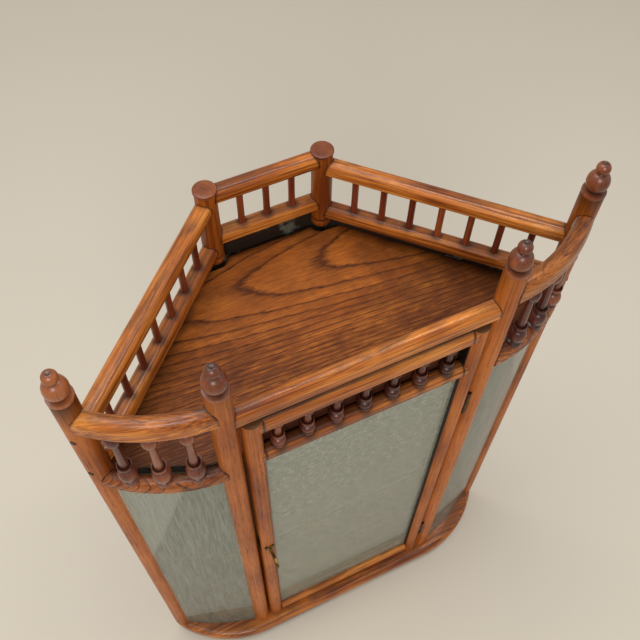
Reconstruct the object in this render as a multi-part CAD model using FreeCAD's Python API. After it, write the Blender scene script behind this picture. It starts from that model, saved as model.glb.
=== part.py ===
import FreeCAD
import Part
import math
import os
from FreeCAD import Vector

os.makedirs("parts", exist_ok=True)

# Plan of the carcase, in millimetres; y runs towards the corner of the room
wallPostSpan = 550.0
frontPostSpan = 305.0
frontPostSetback = 50.0
backPostSpan = 141.0
backPostDepth = 206.8
postRadius = 12.5

# Heights above the floor
plinthHeight = 14.0
baseThickness = 20.0
innerHeight = 625.0
boardThickness = 16.0
rimLowerRise = 23.4
rimUpperRise = 97.8
backLowerRise = 38.4
backUpperRise = 110.0
curvedLowerRise = 0.0
curvedUpperRise = 127.0
frontRailRise = 106.0
doorMouldRise = 9.0
doorTopRise = 98.0
postRise = 174.0
capRise = 123.8

# Rails of the gallery
railWidth = 21.0
railHeight = 16.5
railCrown = 8.0
straightRailInset = 6.0
curvedRailInset = 4.5
curvedUpperWidth = 20.0
curvedUpperHeight = 25.0
curvedUpperEndOffset = 2.5
curvedUpperMidOffset = 15.0
curvedLowerWidth = 17.0
curvedLowerHeight = 19.0
curvedLowerEndOffset = 4.0
curvedLowerMidOffset = 16.5
frontRailForward = 0.5
frontRailDepth = 18.0
frontRailHeight = 21.0
frontRailEndInset = 8.0
dowelRadius = 4.2
dowelsPerWall = 7
dowelsPerBack = 3
dowelEndShare = 1.43
socketDepth = 3.0

# Curved glass and boards
glassThickness = 3.0
glassInset = 8.0
glassEndOffset = 7.5
glassMidOffset = 13.0
glassGroove = 3.0
panelThickness = 5.5
panelInnerOffset = 5.0
panelInset = 5.0
boardFrontSetback = 11.5
boardChordOffset = -4.5
boardSideOffset = 4.4
boardRearOffset = -1.5
boardPostGap = 0.3
boardBackPostGap = 4.0
shelfFrontSetback = 16.0
shelfThickness = 12.0
shelfChordOffset = -7.0
shelfWallOffset = 4.4
shelfPostGap = 0.4
cleatWidth = 10.0
cleatHeight = 14.0
cleatLength = 150.0

# Base outline
baseFrontReach = 26.5
baseBendInset = 2.5
baseCornerReach = 10.0
baseCornerForward = 6.0
baseWallOffset = 12.5
baseCrown = 8.0
plinthInset = 7.0

# Turned parts
finialCollarRadius = 13.4
finialCollarHeight = 4.6
finialNeckRadius = 7.0
finialNeckHeight = 1.2
finialBallRadius = 12.4
finialBallCentreRise = 16.0
finialKnobRadius = 7.2
finialKnobCentreRise = 35.0
finialWaistRadius = 4.6
finialBevelShare = 0.4
knobFlatShare = 0.3
knobFlatDropShare = 0.05
capRadius = 13.6
capHeight = 4.0
capDome = 1.8
capFlareShare = 0.35
capEdgeShare = 0.72
capEdgeRiseShare = 0.6
capFlatShare = 0.2
spindleBallRadius = 10.0
spindleHeadRadius = 7.6
spindleNeckRadius = 3.6
spindleCupRadius = 8.5
spindleShares = {"ring": 0.055, "ballTop": 0.215, "waistTop": 0.25, "cupFoot": 0.33, "cupTop": 0.35,
                 "neckTop": 0.77, "headTop": 0.95, "ringRadius": 0.85, "ringTopRadius": 0.7,
                 "ringEdge": 0.7, "waistRadius": 0.55, "cupRim": 0.16, "neckFlare": 1.25, "pin": 1.3}
spindlesPerCurve = 3
bobbinBallRadius = 8.8
bobbinHeadRadius = 6.8
bobbinNeckRadius = 3.2
bobbinCupRadius = 7.2
bobbinCount = 7
bobbinEndShare = 0.13
bobbinShift = -1.8
postFootRise = 5.0
postFootRound = 5.0

# Door
doorPostGap = 3.3
stileWidth = 19.7
doorBackSetback = 10.0
doorShoulderForward = 6.0
doorCrestForward = 13.0
doorBottomGap = 3.0
doorGlassForward = 2.4
rebateWidth = 4.0
doorGlassPlay = 0.5
beadDepth = 6.0
doorMouldSetback = 6.0
doorMouldForward = 12.0
upperMouldHeight = 20.0
lowerMouldHeight = 17.0
mouldHousing = 5.0
bottomRailHeight = 24.0
bottomRailStepBack = 2.0

# Hinges, lock and key
hingePinGap = 2.6
hingePinForward = 7.5
hingePinRadius = 1.2
hingeBore = 1.25
knuckleRadius = 2.4
leafThickness = 1.5
leafReach = 13.5
leafHeight = 50.0
knuckleGap = 0.3
leafPlay = 0.15
hingeEndDistance = 90.0
leafWebThickness = 1.5
mortiseMargin = 1.0
lockPlateThickness = 1.2
lockPlateHalfHeight = 29.0
lockCaseHalfHeight = 25.0
lockCaseForward = 5.0
lockCaseSetback = 3.0
lockCaseWidth = 13.9
lockPlateMargin = 1.0
lockChamberRadius = 4.6
lockChamberHalf = 2.6
boltHeight = 8.0
boltRise = 12.0
boltHalfDepth = 2.0
boltLength = 13.4
boltPlay = 0.08
boltThrow = 9.0
strikeMargin = 0.6
cutMargin = 1.0
keyShaftRadius = 2.0
keyPlay = 0.08
keyBitPlay = 0.32
keyBitReach = 4.2
keyBitThickness = 1.6
keyBowOuter = 10.0
keyBowInner = 6.4
keyBowThickness = 2.6
keyShaftFree = 8.0
keySlotPlay = 0.3
escutcheonRadius = 6.5
escutcheonProud = 1.2
escutcheonDepth = 6.2

# Fixings
railScrewHeadRadius = 3.0
railScrewShankRadius = 1.6
railScrewHeadHeight = 1.6
railScrewProud = 0.5
railScrewLength = 30.0
railScrewRiseShare = 0.35
wallHoleRadius = 2.5
wallHoleU = 145.0
upperHoleDrop = 60.0
lowerHoleRise = 60.0

# Derived heights
baseTop = plinthHeight + baseThickness
boardTop = baseTop + innerHeight + boardThickness
boardUnder = boardTop - boardThickness
lowerRailZ = boardTop + rimLowerRise
upperRailZ = boardTop + rimUpperRise
backLowerZ = boardTop + backLowerRise
backUpperZ = boardTop + backUpperRise
curvedLowerZ = boardTop + curvedLowerRise
curvedUpperZ = boardTop + curvedUpperRise
frontRailZ = boardTop + frontRailRise
doorMouldZ = boardTop + doorMouldRise
postTop = boardTop + postRise
capZ = boardTop + capRise
doorBottom = baseTop + doorBottomGap
doorTop = boardTop + doorTopRise
lockZ = (doorBottom + doorTop) / 2.0
shelfTop = baseTop + (innerHeight + shelfThickness) / 2.0
shelfUnder = shelfTop - shelfThickness

# Derived plan
wallHalf = wallPostSpan / 2.0
frontHalf = frontPostSpan / 2.0
backHalf = backPostSpan / 2.0
frontPostY = -frontPostSetback
backPostY = backPostDepth
boardFrontY = frontPostY + boardFrontSetback
shelfFrontY = frontPostY + shelfFrontSetback
doorHalfWidth = frontHalf - postRadius - doorPostGap
doorBackY = frontPostY + doorBackSetback
doorShoulderY = frontPostY - doorShoulderForward
doorFrontY = frontPostY - doorCrestForward
doorGlassFrontY = frontPostY - doorGlassForward
doorMouldBackY = frontPostY + doorMouldSetback
doorMouldFrontY = frontPostY - doorMouldForward
bobbinY = (doorMouldBackY + doorMouldFrontY) / 2.0
hingePinX = doorHalfWidth + hingePinGap
hingePinY = frontPostY - hingePinForward
lockCaseFrontY = frontPostY - lockCaseForward
lockCaseBackY = frontPostY + lockCaseSetback
up = Vector(0, 0, 1)
origin = Vector(0, 0, 0)
wallPost = Vector(wallHalf, 0, 0)
frontPost = Vector(frontHalf, frontPostY, 0)
backPost = Vector(backHalf, backPostY, 0)
keyFrontY = doorFrontY - escutcheonProud - keyShaftFree - 2.0 * keyBowOuter
originY = (keyFrontY + backPostY + capRadius) / 2.0


# Placing and saving
def save(name, shape):
    shape = shape.copy()
    shape.translate(Vector(0, -originY, 0))
    shape.exportStep("parts/" + name + ".step")


def mirrored(shape):
    return shape.mirror(origin, Vector(1, 0, 0))


def saveBoth(name, shape):
    save(name + "_right", shape)
    save(name + "_left", mirrored(shape))


def cutAll(shape, tools):
    for tool in tools:
        shape = shape.cut(tool)
    return shape.Solids[0] if len(shape.Solids) == 1 else shape


# Simple solids
def cylinder(radius, base, height, direction=up):
    return Part.makeCylinder(radius, height, base, direction)


def block(x0, x1, y0, y1, z0, z1):
    return Part.makeBox(x1 - x0, y1 - y0, z1 - z0, Vector(x0, y0, z0))


def atHeight(point, z):
    return Vector(point.x, point.y, z)


def prism(points, z0, z1):
    ring = [atHeight(p, z0) for p in points]
    return Part.Face(Part.makePolygon(ring + ring[:1])).extrude(up * (z1 - z0))


def unit(a, b):
    step = b - a
    return step * (1.0 / step.Length)


def sideways(direction):
    return Vector(direction.y, -direction.x, 0)


def crossing(a, u, b, v):
    # meeting point in plan of the line a + s u and the line b + t v
    s = ((b.x - a.x) * v.y - (b.y - a.y) * v.x) / (u.x * v.y - u.y * v.x)
    return a + u * s


# Turned solids: lines and arcs of a half profile, given as radius and height, spun about z
def turned(start, steps):
    def at(rz):
        return Vector(rz[0], 0, rz[1])
    edges = [Part.LineSegment(Vector(0, 0, start[1]), at(start)).toShape()]
    last = at(start)
    for step in steps:
        if len(step) == 4:
            edges.append(Part.Arc(last, at(step[:2]), at(step[2:])).toShape())
            last = at(step[2:])
        else:
            edges.append(Part.LineSegment(last, at(step)).toShape())
            last = at(step)
    top = Vector(0, 0, last.z)
    edges.append(Part.LineSegment(last, top).toShape())
    edges.append(Part.LineSegment(top, Vector(0, 0, start[1])).toShape())
    return Part.Face(Part.Wire(edges)).revolve(origin, up, 360)


def standing(shape, point, z):
    shape = shape.copy()
    shape.translate(atHeight(point, z))
    return shape


# Rail section: a flat lower strip with a crowned top, drawn across a rail
def railFace(centre, across, z, width, height, crown):
    half = across * (width / 2.0)
    shoulder = height - crown
    a, b = centre - half, centre + half
    lowA, lowB = atHeight(a, z), atHeight(b, z)
    highA, highB = atHeight(a, z + shoulder), atHeight(b, z + shoulder)
    edges = [Part.LineSegment(lowA, lowB).toShape(), Part.LineSegment(lowB, highB).toShape(),
             Part.Arc(highB, atHeight(centre, z + height), highA).toShape(),
             Part.LineSegment(highA, lowA).toShape()]
    return Part.Face(Part.Wire(edges))


def straightRail(a, b, insetA, insetB, z, width, height, crown):
    along = unit(a, b)
    face = railFace(a + along * insetA, sideways(along), z, width, height, crown)
    return face.extrude(along * ((b - a).Length - insetA - insetB))


# Curve between a wall post and a front post, bowed outward from the chord of their axes
chord = unit(wallPost, frontPost)
chordLength = (frontPost - wallPost).Length
chordMiddle = (wallPost + frontPost) * 0.5
outward = Vector(-chord.y, chord.x, 0)


def curve(inset, endOffset, midOffset):
    # circle through two ends and the middle: half-chord squared over twice the rise, plus half the rise
    rise = midOffset - endOffset
    half = chordLength / 2.0 - inset
    radius = half * half / (2.0 * rise) + rise / 2.0
    centre = chordMiddle + outward * (midOffset - radius)
    return centre, radius, math.asin(half / radius)


def onCurve(centre, radius, angle):
    return centre + outward * (radius * math.cos(angle)) + chord * (radius * math.sin(angle))


def curvedRail(z, width, height, endOffset, midOffset):
    centre, radius, _ = curve(0.0, endOffset, midOffset)
    end = math.asin((chordLength / 2.0 - curvedRailInset) / radius)
    start = onCurve(centre, radius, -end)
    face = railFace(start, unit(centre, start), z, width, height, railCrown)
    return face.revolve(centre, up, -2.0 * math.degrees(end))


def curvedGlass():
    centre, outer, half = curve(glassInset, glassEndOffset, glassMidOffset)
    inner = outer - glassThickness
    z = baseTop - glassGroove
    arcs = []
    for radius, order in ((outer, 1), (inner, -1)):
        pts = [atHeight(onCurve(centre, radius, half * order * s), z) for s in (-1, 0, 1)]
        arcs.append((Part.Arc(*pts).toShape(), pts))
    joins = [Part.LineSegment(arcs[0][1][2], arcs[1][1][0]).toShape(),
             Part.LineSegment(arcs[1][1][2], arcs[0][1][0]).toShape()]
    wire = Part.Wire([arcs[0][0], joins[0], arcs[1][0], joins[1]])
    return Part.Face(wire).extrude(up * (curvedLowerZ + glassGroove - z))


# Wall side: distance u from the wall post towards the back post, offset v towards the wall
wallRun = unit(wallPost, backPost)
wallLength = (backPost - wallPost).Length
toWall = Vector(wallRun.y, -wallRun.x, 0)


def onWall(u, v):
    return wallPost + wallRun * u + toWall * v


def backCorner(sideOffset, rearOffset):
    # where the side line and the back line meet when they are moved outward
    return crossing(onWall(0, sideOffset), wallRun, Vector(0, backPostY + rearOffset, 0), Vector(1, 0, 0))


def floorPlate(frontY, chordOffset, wallOffset, rearOffset, z0, z1):
    sideFront = crossing(wallPost + outward * chordOffset, chord, Vector(0, frontY, 0), Vector(1, 0, 0))
    sideWall = crossing(wallPost + outward * chordOffset, chord, onWall(0, wallOffset), wallRun)
    corner = backCorner(wallOffset, rearOffset)
    half = [sideFront, sideWall, corner]
    return prism(half + [Vector(-p.x, p.y, 0) for p in reversed(half)], z0, z1)


def postHoles(points, gap, z0, z1):
    tools = [cylinder(postRadius + gap, atHeight(point, z0), z1 - z0) for point in points]
    return tools + [mirrored(tool) for tool in tools]


# Gallery: straight rails, curved rails, dowels and turned spindles
def rimRail(a, b, z):
    return straightRail(a, b, straightRailInset, straightRailInset, z, railWidth, railHeight, railCrown)


backPostLeft = Vector(-backHalf, backPostY, 0)
upperSide, lowerSide = rimRail(wallPost, backPost, upperRailZ), rimRail(wallPost, backPost, lowerRailZ)
upperBack = rimRail(backPost, backPostLeft, backUpperZ)
lowerBack = rimRail(backPost, backPostLeft, backLowerZ)
frontA = Vector(frontHalf, frontPostY - frontRailForward, 0)
frontB = Vector(-frontHalf, frontPostY - frontRailForward, 0)
frontRail = straightRail(frontA, frontB, frontRailEndInset, frontRailEndInset, frontRailZ,
                         frontRailDepth, frontRailHeight, railCrown)
upperCurved = curvedRail(curvedUpperZ, curvedUpperWidth, curvedUpperHeight, curvedUpperEndOffset,
                         curvedUpperMidOffset)
lowerCurved = curvedRail(curvedLowerZ, curvedLowerWidth, curvedLowerHeight, curvedLowerEndOffset,
                         curvedLowerMidOffset)


def dowels(points, lowZ, top):
    base = lowZ + railHeight - socketDepth
    return [cylinder(dowelRadius, atHeight(p, base), top - base) for p in points]


def spread(count, pitch):
    return [(i - (count - 1) / 2.0) * pitch for i in range(count)]


dowelPitch = wallLength / (dowelsPerWall + dowelEndShare)
dowelPitchBack = backPostSpan / (dowelsPerBack + dowelEndShare)
sideDowels = dowels([onWall(wallLength / 2.0 + s, 0) for s in spread(dowelsPerWall, dowelPitch)],
                    lowerRailZ, upperRailZ)
backDowels = dowels([Vector(s, backPostY, 0) for s in spread(dowelsPerBack, dowelPitchBack)],
                    backLowerZ, backUpperZ)
lowerSide = cutAll(lowerSide, sideDowels)
lowerBack = cutAll(lowerBack, backDowels)


def spindle(length, ball, head, neck, cup):
    # base ring, large ball, waist, flared cup with a hollow rim, slim neck, small ball and a pin at the top
    share = spindleShares
    ring, waist = share["ringRadius"] * ball, share["waistRadius"] * ball
    z1, z2, z3 = share["ring"] * length, share["ballTop"] * length, share["waistTop"] * length
    z4, z5 = share["cupFoot"] * length, share["cupTop"] * length
    z6, z7 = share["neckTop"] * length, share["headTop"] * length
    rim, pin = share["cupRim"] * cup, share["pin"] * neck
    return turned((ring, 0), [
        (ring, z1 * share["ringEdge"]), (share["ringTopRadius"] * ring, z1),
        (ball, (z1 + z2) / 2.0, waist, z2), (waist, z3), (cup, z4), (cup, z5), (cup - rim, z5),
        (neck, z4), (neck * share["neckFlare"], z6), (head, (z6 + z7) / 2.0, pin, z7), (pin, length)])


curveSpindleFoot = curvedLowerZ + curvedLowerHeight - socketDepth
curveSpindle = spindle(curvedUpperZ - curveSpindleFoot, spindleBallRadius, spindleHeadRadius,
                       spindleNeckRadius, spindleCupRadius)
bowCentre, bowRadius, bowAngle = curve(0.0, curvedLowerEndOffset, curvedLowerMidOffset)
spindleAngles = [2.0 * bowAngle * (k / (spindlesPerCurve + 1.0) - 0.5)
                 for k in range(1, spindlesPerCurve + 1)]
curveSpindles = [standing(curveSpindle, onCurve(bowCentre, bowRadius, a), curveSpindleFoot)
                 for a in spindleAngles]
curveGlass = curvedGlass()
lowerCurved = cutAll(lowerCurved, curveSpindles + [curveGlass])


# Back panels, meeting in a mitre behind the back posts
def backPanels():
    inner, outer = panelInnerOffset, panelInnerOffset + panelThickness
    cornerIn, cornerOut = backCorner(inner, inner), backCorner(outer, outer)
    side = prism([onWall(panelInset, inner), cornerIn, cornerOut, onWall(panelInset, outer)],
                 baseTop, lowerRailZ)
    for z in (boardUnder - upperHoleDrop, baseTop + lowerHoleRise):
        side = side.cut(cylinder(wallHoleRadius, atHeight(onWall(wallHoleU, -panelThickness), z),
                                 panelThickness * 3.0, toWall))
    flip = [Vector(-p.x, p.y, 0) for p in (cornerOut, cornerIn)]
    middle = prism([cornerIn, cornerOut] + flip, baseTop, backLowerZ)
    return side, middle


sidePanel, middlePanel = backPanels()


# Rail screws: dark heads on the outer side of the wall posts, driven into the side rails
def railScrew(z):
    inward = wallRun
    head = atHeight(wallPost - inward * (postRadius + railScrewProud), z)
    screw = cylinder(railScrewHeadRadius, head, railScrewHeadHeight, inward)
    return screw.fuse(cylinder(railScrewShankRadius, head, railScrewLength, inward)).removeSplitter()


railScrews = [railScrew(z + railScrewRiseShare * railHeight) for z in (upperRailZ, lowerRailZ)]
upperSide = cutAll(upperSide, railScrews)
lowerSide = cutAll(lowerSide, railScrews)


# Finials and caps
def finial():
    top = finialCollarHeight + finialNeckHeight
    ballZ, knobZ = finialBallCentreRise, finialKnobCentreRise
    seat = math.sqrt(finialBallRadius ** 2 - (ballZ - top) ** 2)
    neckZ = ballZ + math.sqrt(finialBallRadius ** 2 - finialWaistRadius ** 2)
    waistZ = knobZ - math.sqrt(finialKnobRadius ** 2 - finialWaistRadius ** 2)
    knobTop = knobZ + finialKnobRadius
    return turned((finialCollarRadius, 0), [
        (finialCollarRadius, finialCollarHeight * (1.0 - finialBevelShare)),
        (finialNeckRadius, finialCollarHeight),
        (finialNeckRadius, top), (seat, top), (finialBallRadius, ballZ, finialWaistRadius, neckZ),
        (finialWaistRadius, waistZ),
        (finialKnobRadius, knobZ, knobFlatShare * finialKnobRadius,
         knobTop - knobFlatDropShare * finialKnobRadius)])


def cap():
    return turned((postRadius, 0), [
        (capRadius, capHeight * capFlareShare), (capRadius, capHeight),
        (capEdgeShare * capRadius, capHeight + capEdgeRiseShare * capDome, capFlatShare * capRadius,
         capHeight + capDome)])


# Posts, notched where the rails, panels and glass are let in
def roundPost(point, z0, z1):
    return cylinder(postRadius, atHeight(point, z0), z1 - z0)


wallPostSolid = cutAll(roundPost(wallPost, baseTop, postTop),
                       [upperSide, lowerSide, upperCurved, lowerCurved, sidePanel, curveGlass] + railScrews)
frontPostSolid = cutAll(roundPost(frontPost, baseTop, postTop),
                        [upperCurved, lowerCurved, curveGlass, frontRail])
backCap = standing(cap(), backPost, capZ)
upperBack = cutAll(upperBack, [backCap, mirrored(backCap)])
backFoot = cylinder(postRadius, atHeight(backPost, boardTop + postFootRise),
                    capZ - boardTop - postFootRise)
backFoot = backFoot.makeFillet(postFootRound, [e for e in backFoot.Edges
                                               if e.BoundBox.ZMax < boardTop + postFootRise + 1])
backPostSolid = cutAll(backFoot, [upperSide, lowerSide, upperBack, lowerBack, sidePanel, middlePanel])


# Top board and shelf
boardPlate = floorPlate(boardFrontY, boardChordOffset, boardSideOffset, boardRearOffset, boardUnder, boardTop)
boardHoles = (postHoles((wallPost, frontPost), boardPostGap, boardUnder, boardTop)
              + postHoles((backPost,), boardBackPostGap, boardUnder, boardTop))
topBoard = cutAll(boardPlate, boardHoles)
shelfPlate = floorPlate(shelfFrontY, shelfChordOffset, shelfWallOffset, shelfWallOffset, shelfUnder, shelfTop)
shelf = cutAll(shelfPlate, postHoles((wallPost, frontPost), shelfPostGap, shelfUnder, shelfTop))


def shelfCleat():
    mid = wallLength / 2.0
    inner = panelInnerOffset
    ends = [onWall(mid - cleatLength / 2.0, inner), onWall(mid + cleatLength / 2.0, inner),
            onWall(mid + cleatLength / 2.0 - cleatWidth, inner - cleatWidth),
            onWall(mid - cleatLength / 2.0 + cleatWidth, inner - cleatWidth)]
    return prism(ends, shelfUnder - cleatHeight, shelfUnder)


# Base with a crowned front edge standing on a set-back plinth
def baseOutline(z, inset):
    frontY = frontPostY - baseFrontReach + inset
    half = frontHalf - baseBendInset
    corner = Vector(wallHalf + baseCornerReach - inset, -baseCornerForward, z)
    dx, dy = corner.x - half, corner.y - frontY
    radius = (dx * dx + dy * dy) / (2.0 * dy)
    centre = Vector(half, frontY + radius, z)
    sweep = math.asin(dx / radius)
    middle = centre + Vector(math.sin(sweep / 2.0), -math.cos(sweep / 2.0), 0) * radius
    wallA = onWall(0, baseWallOffset - inset)
    wallCorner = crossing(wallA, wallRun, corner, Vector(0, 1, 0))
    back = backCorner(baseWallOffset - inset, baseWallOffset - inset)
    start = Vector(half, frontY, z)
    pts = [corner, atHeight(wallCorner, z), atHeight(back, z)]
    flip = [Vector(-p.x, p.y, p.z) for p in reversed(pts)]
    edges = [Part.LineSegment(Vector(-half, frontY, z), start).toShape(),
             Part.Arc(start, middle, corner).toShape()]
    chain = pts + flip
    edges += [Part.LineSegment(a, b).toShape() for a, b in zip(chain, chain[1:])]
    middleLeft = Vector(-middle.x, middle.y, z)
    edges.append(Part.Arc(chain[-1], middleLeft, Vector(-half, frontY, z)).toShape())
    return Part.Face(Part.Wire(edges))


def baseBoard():
    solid = baseOutline(plinthHeight, 0.0).extrude(up * baseThickness)
    front = [e for e in solid.Edges if e.BoundBox.ZMin > baseTop - cutMargin
             and e.BoundBox.YMax < 0.0]
    solid = solid.makeFillet(baseCrown, front)
    return cutAll(solid, [curveGlass, mirrored(curveGlass)])


def plinth():
    return baseOutline(0.0, plinthInset).extrude(up * plinthHeight)


# Door: two half-round stiles, a frieze of bobbins between two mouldings, glass and a bottom rail
stileInnerX = doorHalfWidth - stileWidth
stileMidX = (doorHalfWidth + stileInnerX) / 2.0


def halfRound(a, b, mid, depth, shoulder, back, extrusion, place):
    # section across a stile or rail: a and b are its edges, mid its crest
    pts = [place(a, back), place(a, shoulder), place(mid, depth), place(b, shoulder), place(b, back)]
    edges = [Part.LineSegment(pts[0], pts[1]).toShape(), Part.Arc(pts[1], pts[2], pts[3]).toShape(),
             Part.LineSegment(pts[3], pts[4]).toShape(), Part.LineSegment(pts[4], pts[0]).toShape()]
    return Part.Face(Part.Wire(edges)).extrude(extrusion)


def mould(z, height):
    a = Vector(stileInnerX + mouldHousing, (doorMouldBackY + doorMouldFrontY) / 2.0, 0)
    return straightRail(a, Vector(-a.x, a.y, 0), 0.0, 0.0, z, doorMouldBackY - doorMouldFrontY,
                        height, railCrown)


lowerMould = mould(doorMouldZ, lowerMouldHeight)
upperMould = mould(doorTop - upperMouldHeight, upperMouldHeight)
bobbinFoot = doorMouldZ + lowerMouldHeight - socketDepth
bobbinPitch = 2.0 * stileInnerX / (bobbinCount + bobbinEndShare)
bobbin = spindle(doorTop - upperMouldHeight - bobbinFoot, bobbinBallRadius, bobbinHeadRadius,
                 bobbinNeckRadius, bobbinCupRadius)
bobbins = [standing(bobbin, Vector(s + bobbinShift, bobbinY, 0), bobbinFoot)
           for s in spread(bobbinCount, bobbinPitch)]
glassHalf = stileInnerX + rebateWidth - doorGlassPlay
bottomRailTop = doorBottom + bottomRailHeight
doorGlass = block(-glassHalf, glassHalf, doorGlassFrontY, doorGlassFrontY + glassThickness,
                  bottomRailTop - rebateWidth + doorGlassPlay, doorMouldZ + rebateWidth - doorGlassPlay)
lowerMould = cutAll(lowerMould, bobbins + [doorGlass])
friezePanel = block(-stileInnerX, stileInnerX, doorMouldBackY, doorBackY, doorMouldZ, doorTop)
glassRebate = block(-stileInnerX - rebateWidth, stileInnerX + rebateWidth, doorGlassFrontY, 0.0,
                    bottomRailTop - rebateWidth, doorMouldZ)
sideGroove = block(-stileInnerX - rebateWidth, stileInnerX + rebateWidth, doorGlassFrontY,
                   doorGlassFrontY + glassThickness, doorMouldZ, doorMouldZ + rebateWidth)


def doorBeads():
    y0 = doorGlassFrontY + glassThickness
    y1 = y0 + beadDepth
    x0, x1 = stileInnerX, stileInnerX + rebateWidth
    z0, z1 = bottomRailTop - rebateWidth, bottomRailTop
    side = block(x0, x1, y0, y1, z1, doorMouldZ)
    foot = block(-x1, x1, y0, y1, z0, z1)
    return [side, mirrored(side), foot]


# Hinge: pin, a leaf on the door with the middle knuckle, a leaf on the post with the outer knuckles
def hingeParts(z):
    third = leafHeight / 3.0
    pin = Vector(hingePinX, hingePinY, 0)
    z0, z1 = z - leafHeight / 2.0, z + leafHeight / 2.0
    a, b = z0 + third, z1 - third

    def knuckle(low, high):
        return cylinder(knuckleRadius, atHeight(pin, low), high - low)
    bore = cylinder(hingeBore, atHeight(pin, z0), leafHeight)
    backY = hingePinY + leafReach
    webY0, webY1 = hingePinY - leafWebThickness / 2.0, hingePinY + leafWebThickness / 2.0
    doorPlate = block(doorHalfWidth - leafThickness, doorHalfWidth, doorShoulderY, backY, z0, z1)
    doorWeb = block(doorHalfWidth - leafThickness, hingePinX, webY0, webY1 + leafWebThickness, a + knuckleGap,
                    b - knuckleGap)
    doorLeaf = doorPlate.fuse(doorWeb).fuse(knuckle(a + knuckleGap, b - knuckleGap)).cut(bore)
    postX = hingePinX + knuckleRadius + leafPlay
    postLeaf = block(postX, postX + leafThickness, webY0, backY, z0, z1)
    for low, high in ((z0, a), (b, z1)):
        web = block(hingePinX, postX + leafThickness / 2.0, webY0, webY1, low, high)
        postLeaf = postLeaf.fuse(web.fuse(knuckle(low, high)))
    postLeaf = postLeaf.cut(bore)
    pinSolid = cylinder(hingePinRadius, atHeight(pin, z0), leafHeight)
    return doorLeaf.removeSplitter(), postLeaf.removeSplitter(), pinSolid


hinges = [hingeParts(z) for z in (doorBottom + hingeEndDistance, doorMouldZ - hingeEndDistance)]
doorLeaves = [h[0] for h in hinges]
postLeaves = [h[1] for h in hinges]
hingePins = [h[2] for h in hinges]


def hingeMortises():
    # sinkings in the post behind its leaves, open towards the door
    tools = []
    for z in (doorBottom + hingeEndDistance, doorMouldZ - hingeEndDistance):
        x1 = hingePinX + knuckleRadius + leafPlay + leafThickness
        tools.append(block(frontHalf - postRadius - mortiseMargin, x1,
                           hingePinY - leafReach / 2.0, hingePinY + leafReach,
                           z - leafHeight / 2.0, z + leafHeight / 2.0))
    return tools


# Lock in the left stile: case with a face plate, sliding bolt, key and a turned escutcheon
def lockParts():
    keyX, faceX = -stileMidX, -doorHalfWidth
    plate = block(faceX, faceX + lockPlateThickness, doorShoulderY, lockCaseBackY + lockPlateMargin,
                  lockZ - lockPlateHalfHeight, lockZ + lockPlateHalfHeight)
    caseX = faceX + lockPlateThickness
    case = block(caseX, caseX + lockCaseWidth, lockCaseFrontY, lockCaseBackY,
                 lockZ - lockCaseHalfHeight, lockZ + lockCaseHalfHeight)
    envelope = plate.fuse(case).removeSplitter()
    midY = (lockCaseFrontY + lockCaseBackY) / 2.0
    keyAxis = Vector(keyX, midY - lockChamberHalf, lockZ)
    deep = Vector(0, 1, 0)
    chamber = cylinder(lockChamberRadius, keyAxis, 2.0 * lockChamberHalf, deep)
    boltZ = lockZ + boltRise
    bolt = block(faceX, faceX + boltLength, midY - boltHalfDepth, midY + boltHalfDepth,
                 boltZ - boltHeight / 2.0, boltZ + boltHeight / 2.0)
    channel = block(faceX - cutMargin, faceX + boltLength + boltPlay, midY - boltHalfDepth - boltPlay,
                    midY + boltHalfDepth + boltPlay, boltZ - boltHeight / 2.0 - boltPlay,
                    boltZ + boltHeight / 2.0 + boltPlay)
    bossFront = doorFrontY - escutcheonProud
    shaftHole = cylinder(keyShaftRadius + keyPlay, Vector(keyX, bossFront, lockZ),
                         keyAxis.y - bossFront, deep)
    slotHalf = keyBitThickness / 2.0 + keySlotPlay
    slot = block(keyX - slotHalf, keyX + slotHalf, bossFront, keyAxis.y, lockZ - keyBitReach - keySlotPlay,
                 lockZ)
    solid = cutAll(envelope, [chamber, channel, shaftHole, slot])
    boss = cylinder(escutcheonRadius, Vector(keyX, bossFront, lockZ), escutcheonDepth + escutcheonProud, deep)
    rimEdge = [e for e in boss.Edges if e.BoundBox.YMax < bossFront + escutcheonProud / 2.0]
    boss = boss.makeChamfer(escutcheonProud / 2.0, rimEdge)
    escutcheon = cutAll(boss, [shaftHole, slot])
    bowY = bossFront - keyShaftFree - keyBowOuter
    shaftEnd = midY + lockChamberHalf - keyPlay
    bowPole = bowY + keyBowInner
    shaft = cylinder(keyShaftRadius, Vector(keyX, bowPole, lockZ), shaftEnd - bowPole, deep)
    bow = cylinder(keyBowOuter, Vector(keyX - keyBowThickness / 2.0, bowY, lockZ), keyBowThickness,
                   Vector(1, 0, 0))
    bowHole = cylinder(keyBowInner, Vector(keyX - keyBowThickness, bowY, lockZ), 2.0 * keyBowThickness,
                       Vector(1, 0, 0))
    bit = block(keyX - keyBitThickness / 2.0, keyX + keyBitThickness / 2.0,
                midY - lockChamberHalf + keyBitPlay, shaftEnd, lockZ - keyBitReach, lockZ)
    key = shaft.fuse(bow.cut(bowHole)).fuse(bit).removeSplitter()
    strike = block(faceX - boltThrow - strikeMargin, -frontHalf + postRadius + cutMargin,
                   midY - boltHalfDepth - strikeMargin, midY + boltHalfDepth + strikeMargin,
                   boltZ - boltHeight / 2.0 - strikeMargin, boltZ + boltHeight / 2.0 + strikeMargin)
    return solid, bolt, escutcheon, key, strike, [envelope, boss, shaftHole, slot]


lockCase, lockBolt, escutcheon, key, strike, lockSinkings = lockParts()


def stile():
    def place(x, y):
        return Vector(x, y, doorBottom)
    solid = halfRound(stileInnerX, doorHalfWidth, stileMidX, doorFrontY, doorShoulderY, doorBackY,
                      up * (doorTop - doorBottom), place)
    return cutAll(solid, [lowerMould, upperMould, glassRebate, sideGroove])


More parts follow.
